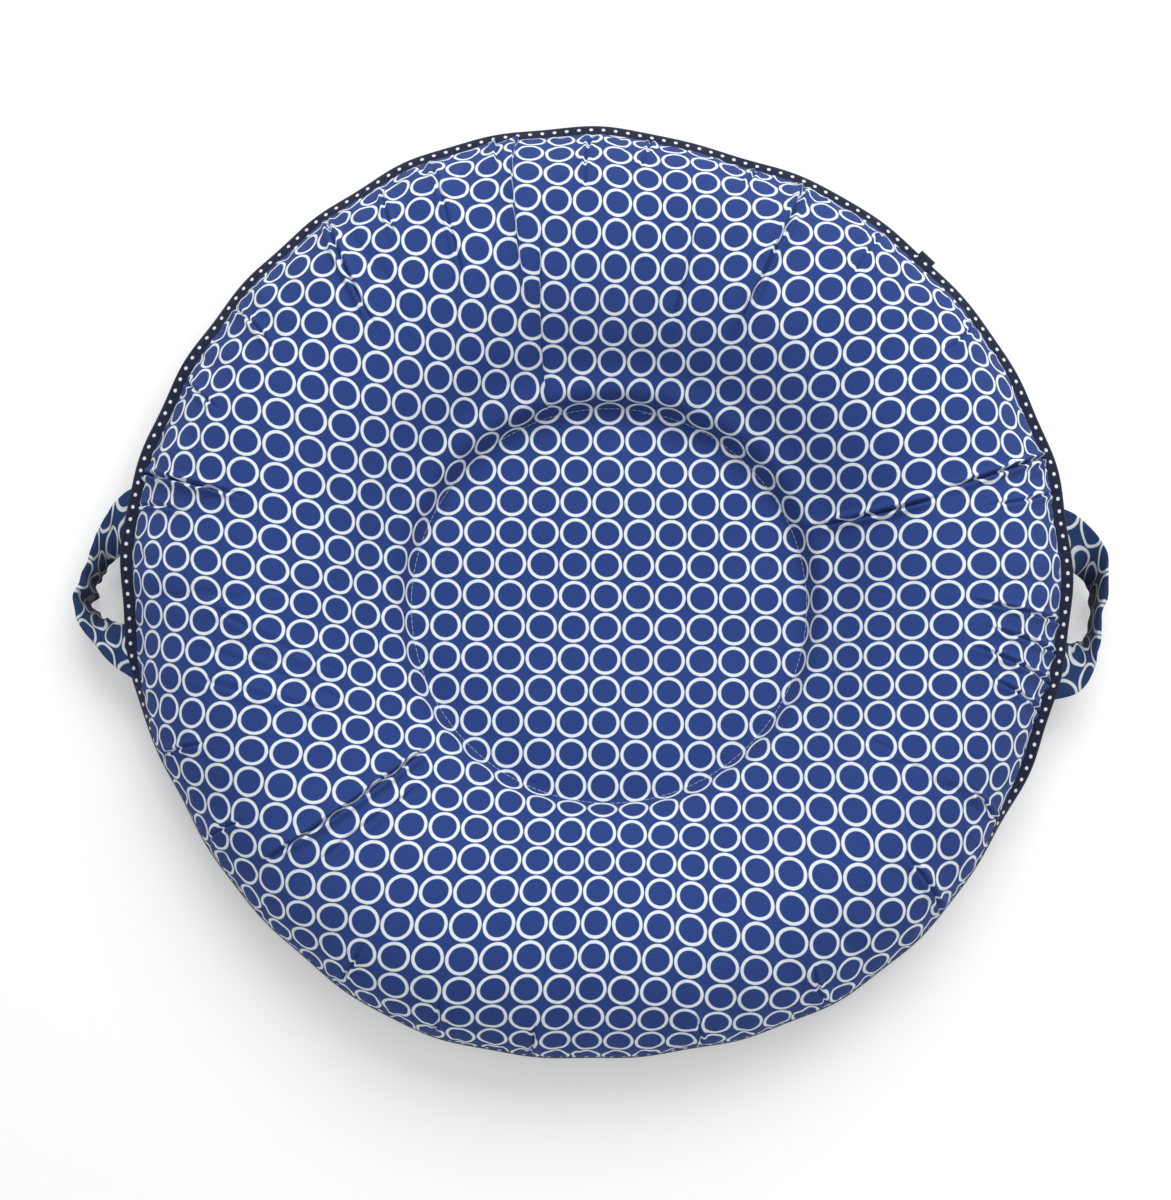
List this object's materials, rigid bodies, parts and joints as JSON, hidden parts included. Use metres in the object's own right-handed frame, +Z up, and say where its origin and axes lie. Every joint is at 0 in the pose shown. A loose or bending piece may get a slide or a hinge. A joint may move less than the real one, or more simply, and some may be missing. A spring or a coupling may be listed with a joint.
{
  "type": "round floor cushion",
  "caption": "Round stuffed floor cushion with a quilted-down centre dish, a ribbon-trimmed edge seam and a strap handle on each side.",
  "frame": {"origin": "on the floor, under the centre of the edge seam", "axes": "+X towards the right handle, +Y to the rear, +Z up"},
  "size_m": [0.8232, 0.744, 0.1],
  "materials": {
    "printed_cotton": "plain-weave cotton, royal blue printed with a square grid of white rings",
    "base_cotton": "plain-weave cotton, plain navy",
    "strap_cotton": "the printed cotton, folded into a strap",
    "ribbon": "navy grosgrain with a row of white dots",
    "thread": "pale spun thread",
    "filling": "white polyester wadding"
  },
  "bodies": {
    "cushion": {"top_cover": "printed_cotton", "base_cover": "base_cotton", "ring_fill": "filling", "centre_wadding": "filling", "edge_trim": "ribbon", "trim_lap_end": "ribbon", "circle_stitch_top": "thread", "circle_stitch_under": "thread", "edge_seam_thread": "thread", "right_handle_rear_end": "strap_cotton", "right_handle_front_end": "strap_cotton", "left_handle_rear_end": "strap_cotton", "left_handle_front_end": "strap_cotton"},
    "right_handle": {"right_handle_sleeve": "strap_cotton", "right_handle_core": "filling"},
    "left_handle": {"left_handle_sleeve": "strap_cotton", "left_handle_core": "filling"}
  },
  "joints": [
    {"name": "right_handle_swing", "type": "hinge", "parent": "cushion", "child": "right_handle", "pos_m": [0.376, -0.004, 0.04445], "axis": [0, -1, 0], "range_deg": [-45, 100]},
    {"name": "left_handle_swing", "type": "hinge", "parent": "cushion", "child": "left_handle", "pos_m": [-0.376, -0.004, 0.04445], "axis": [0, 1, 0], "range_deg": [-45, 100]}
  ]
}
